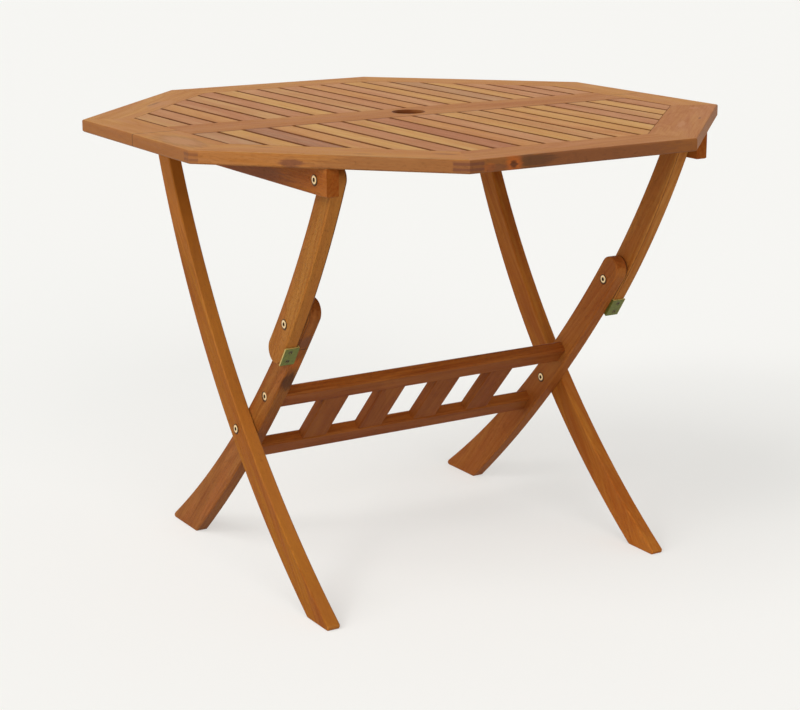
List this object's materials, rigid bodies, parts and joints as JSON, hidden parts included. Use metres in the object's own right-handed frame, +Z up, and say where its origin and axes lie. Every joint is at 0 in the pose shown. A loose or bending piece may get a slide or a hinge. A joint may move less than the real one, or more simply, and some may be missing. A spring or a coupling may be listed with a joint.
{
  "type": "folding umbrella table",
  "caption": "Octagonal slatted wooden garden table with a parasol hole, on crossed curved legs whose jointed struts fold.",
  "frame": {"origin": "on the floor under the centre of the octagonal top", "axes": "+Z up; X along the parasol rail; -Y is the front, where the struts' elbows bend out"},
  "size_m": [1, 1, 0.755],
  "materials": {
    "slat_wood": "oiled hardwood, lighter and darker slats",
    "frame_wood": "oiled hardwood, satin",
    "leg_wood": "oiled hardwood, satin",
    "ladder_wood": "oiled hardwood, satin",
    "fitting_brass": "pale brass plating, satin",
    "bracket_metal": "dark olive plated steel",
    "screw_steel": "plated screw"
  },
  "bodies": {
    "tabletop": {"arm_pivot_bolts": "fitting_brass", "batten_screws": "screw_steel", "front_board": "frame_wood", "front_left_diagonal_board": "frame_wood", "front_right_diagonal_board": "frame_wood", "left_batten": "leg_wood", "left_front_end_board": "frame_wood", "left_rear_end_board": "frame_wood", "parasol_rail": "frame_wood", "rear_board": "frame_wood", "rear_left_diagonal_board": "frame_wood", "rear_right_diagonal_board": "frame_wood", "right_batten": "leg_wood", "right_front_end_board": "frame_wood", "right_rear_end_board": "frame_wood", "slats_01": "slat_wood", "slats_02": "slat_wood", "slats_03": "slat_wood", "slats_04": "slat_wood", "slats_05": "slat_wood", "slats_06": "slat_wood", "slats_07": "slat_wood", "slats_08": "slat_wood", "slats_09": "slat_wood", "slats_10": "slat_wood", "slats_11": "slat_wood", "slats_12": "slat_wood", "slats_13": "slat_wood", "slats_14": "slat_wood", "slats_15": "slat_wood", "slats_16": "slat_wood", "slats_17": "slat_wood", "slats_18": "slat_wood", "slats_19": "slat_wood"},
    "left_long_leg": {"left_long_leg": "leg_wood", "left_long_leg_bolts": "fitting_brass"},
    "right_long_leg": {"right_long_leg": "leg_wood", "right_long_leg_bolts": "fitting_brass"},
    "left_upper_arm": {"left_upper_arm": "leg_wood"},
    "right_upper_arm": {"right_upper_arm": "leg_wood"},
    "lower_frame": {"left_lower_segment": "leg_wood", "right_lower_segment": "leg_wood", "upper_ladder_rail": "ladder_wood", "lower_ladder_rail": "ladder_wood", "left_elbow_bracket": "bracket_metal", "right_elbow_bracket": "bracket_metal", "bracket_screws": "screw_steel", "elbow_bolts": "fitting_brass", "crossing_sleeves": "fitting_brass", "rail_bolts": "fitting_brass", "ladder_rung_1": "ladder_wood", "ladder_rung_2": "ladder_wood", "ladder_rung_3": "ladder_wood", "ladder_rung_4": "ladder_wood"}
  },
  "joints": [
    {"name": "left_elbow_fold", "type": "hinge", "parent": "left_upper_arm", "child": "lower_frame", "pos_m": [-0.30875, -0.173, 0.4673], "axis": [1, 0, 0], "range_deg": [-108, 0]},
    {"name": "left_arm_fold", "type": "hinge", "parent": "tabletop", "child": "left_upper_arm", "pos_m": [-0.32, -0.3145, 0.7145], "axis": [1, 0, 0], "range_deg": [0, 45.7]},
    {"name": "right_arm_fold", "type": "hinge", "parent": "tabletop", "child": "right_upper_arm", "pos_m": [0.32, -0.3145, 0.7145], "axis": [1, 0, 0], "range_deg": [0, 45.7]},
    {"name": "left_leg_fold", "type": "hinge", "parent": "tabletop", "child": "left_long_leg", "pos_m": [-0.32, 0.2775, 0.7145], "axis": [1, 0, 0], "range_deg": [-21.67, 0]},
    {"name": "right_leg_fold", "type": "hinge", "parent": "tabletop", "child": "right_long_leg", "pos_m": [0.32, 0.2775, 0.7145], "axis": [1, 0, 0], "range_deg": [-21.67, 0]}
  ],
  "couplings": [
    {"joint": "left_arm_fold", "follows": "left_elbow_fold", "ratio": -0.42309},
    {"joint": "right_arm_fold", "follows": "left_elbow_fold", "ratio": -0.42309},
    {"joint": "left_leg_fold", "follows": "left_elbow_fold", "ratio": 0.20056},
    {"joint": "right_leg_fold", "follows": "left_elbow_fold", "ratio": 0.20056}
  ]
}
